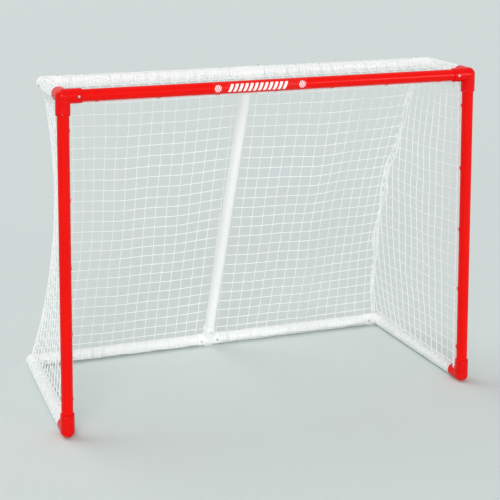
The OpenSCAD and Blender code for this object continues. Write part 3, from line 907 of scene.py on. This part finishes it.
top_corner = np.array([half_w, y_front, z_top])
shelf_elbow = np.array([half_w, y_shelf, z_top])
base_tee = np.array([base_tee_x, y_back, z_base])
shelf_tee = np.array([shelf_tee_x, y_shelf, z_top])
back_way = (0.0, 0.94, 0.33)


def side_sleeve(side, front, rear, lift, seed):
    """Wrapping of a tube that runs from front to back."""
    wires = Wires()
    start, finish = tube_between(front * (side, 1, 1), corner_reach, rear * (side, 1, 1),
                                 corner_reach)
    marks = marks_along(start, finish, 1, net_front_y)
    sleeve(wires, start, finish, marks, (-side, 0, lift), seed + side)
    return wires


def two_sleeves(corner, tee, seed):
    """Wrappings of the two tubes that meet in a tee."""
    wires = Wires()
    for side in (-1, 1):
        start, finish = tube_between(corner * (side, 1, 1), corner_reach, tee, tee_reach)
        marks = marks_along(start, finish, 0, half_w)
        sleeve(wires, start, finish, marks, back_way, seed + side)
    return wires


twine = twine_tree()
twine_sizes = {"Twine Radius": twine_r, "Knot Radius": knot_r, "Loop Radius": loop_r,
               "Seed": 3, "Material": finishes["twine"]}


def netting(wires, name, cad_node):
    """A piece of the net from its runs of twine."""
    grow(wires.object(name), twine, twine_sizes, "net_cord", cad_node)


netting(back_net(), "back_netting", "net_back")
for side, label in ((-1, "left"), (1, "right")):
    side_wires = side_net(side)
    fold_lacing(side_wires, side)
    netting(side_wires, label + "_side_netting", "net_" + label)
    netting(side_sleeve(side, rail_front, rail_rear, lift=1.0, seed=70),
            label + "_rail_wrapping", "hem_" + label + "_rail")
    netting(side_sleeve(side, top_corner, shelf_elbow, lift=-0.6, seed=74),
            label + "_shelf_wrapping", "hem_" + label + "_shelf")
netting(top_net(), "top_netting", "net_top")
netting(two_sleeves(rail_rear, base_tee, seed=80), "back_rail_wrapping", "hem_back_rail")
netting(two_sleeves(shelf_elbow, shelf_tee, seed=84), "shelf_bar_wrapping", "hem_shelf_bar")


# ---- Border rope ----

def border_run():
    """From the right foot up, along the crossbar and down to the left foot."""
    bend = 0.012
    bend_gap = 0.01
    side_points, arc_points, bar_points = 40, 7, 60
    high = 1 - cord_drop / mouth_h
    low = cord_end_h / mouth_h
    y = y_front + cord_back
    z = z_top - cord_drop
    right_top = np.array([post_x(high) - cord_in, y, z])
    right_low = np.array([post_x(low) - cord_in, y, height_z(low)])
    down = (right_low - right_top) / np.linalg.norm(right_low - right_top)
    side = [right_low + (right_top - right_low) * t for t in np.linspace(0, 1, side_points)]
    side = [p for p in side if np.linalg.norm(p - right_top) > bend]
    arc = []
    for t in np.linspace(0, 1, arc_points):
        first = right_top + down * bend * (1 - t)
        last = right_top + np.array([-bend, 0, 0]) * t
        arc.append(first * (1 - t) + last * t)
    end_x = right_top[0] - bend - bend_gap
    across = [np.array([x, y, z]) for x in np.linspace(end_x, -end_x, bar_points)]
    right = side + arc
    left = [p * (-1, 1, 1) for p in reversed(right)]
    return right + across + left


rope_wires = Wires()
rope_points = border_run()
rope_wires.run(rope_points, knots=(0, len(rope_points) - 1))
rope_sizes = {"Rope Radius": rope_r, "Pitch": rope_pitch, "Plies": rope_plies,
              "Step": rope_step, "Knot Radius": rope_knot_r, "Material": finishes["rope"]}
grow(rope_wires.object("border_rope"), rope_tree(), rope_sizes, "border_cord",
     "net_border_cord")


# ---- Floor, light and camera ----

floor_mesh = bpy.data.meshes.new("studio_floor")
span = 40.0
floor_mesh.from_pydata([(-span, -span, 0), (span, -span, 0), (span, span, 0), (-span, span, 0)],
                       [], [(0, 1, 2, 3)])
floor = new_object("studio_floor", floor_mesh)
floor_mesh.materials.append(studio_floor("floor_paper"))

world = bpy.data.worlds.new("studio")
bpy.context.scene.world = world
world.use_nodes = True
sky = Nodes(world.node_tree)
to_camera = sky.add("ShaderNodeLightPath", out="Is Camera Ray")
mirrored = to_camera.math("MAXIMUM", sky.other(to_camera, "Is Glossy Ray"))
shown = mirrored.math("MAXIMUM", sky.other(to_camera, "Is Transmission Ray"))
glow_strength = 0.49
glow = sky.add("ShaderNodeBackground", {}, {"Color": LAMP_WHITE, "Strength": glow_strength})
seen = sky.add("ShaderNodeBackground", {}, {"Color": BACKGROUND, "Strength": 1.0})
both = sky.add("ShaderNodeMixShader", {}, {0: shown, 1: glow, 2: seen})
sky.add("ShaderNodeOutputWorld", {}, {"Surface": both})


def sun(name, place, target, energy, degrees):
    """A sun lamp that shines from a place to a target; degrees are its width in the sky."""
    lamp = bpy.data.lights.new(name, "SUN")
    lamp.energy = energy
    lamp.angle = math.radians(degrees)
    holder = bpy.data.objects.new(name, lamp)
    bpy.context.scene.collection.objects.link(holder)
    holder.location = place
    way = Vector(target) - Vector(place)
    holder.rotation_euler = way.to_track_quat("-Z", "Y").to_euler()
    holder.visible_camera = False


sun("soft_sun", (-2.2, 2.6, 4.6), (0, 0, 0), energy=1.10, degrees=44)
sun("front_fill", (-1.9, -4.2, 1.9), (0, 0, 0.3), energy=1.21, degrees=26)
sun("right_glint", (2.4, -4.35, 0.6), (0, 0, 0), energy=0.62, degrees=9)

yaw = math.radians(20.064)
pitch = math.radians(15.755)
roll = math.radians(-0.057)
eye = (-1.4645, -4.0976, 1.6941)
ahead = Vector((math.sin(yaw) * math.cos(pitch), math.cos(yaw) * math.cos(pitch),
                -math.sin(pitch)))
right = Vector((math.cos(yaw), -math.sin(yaw), 0.0))
up = right.cross(ahead)
right_rolled = right * math.cos(roll) + up * math.sin(roll)
up_rolled = up * math.cos(roll) - right * math.sin(roll)
camera_data = bpy.data.cameras.new("camera")
camera_data.lens = 92.04
camera_data.sensor_width = 36.0
camera_data.clip_end = 200.0
camera = bpy.data.objects.new("camera", camera_data)
bpy.context.scene.collection.objects.link(camera)
turn = Matrix((right_rolled, up_rolled, -ahead)).transposed().to_4x4()
camera.matrix_world = Matrix.Translation(eye) @ turn
bpy.context.scene.camera = camera
bpy.context.scene.view_settings.view_transform = "Standard"
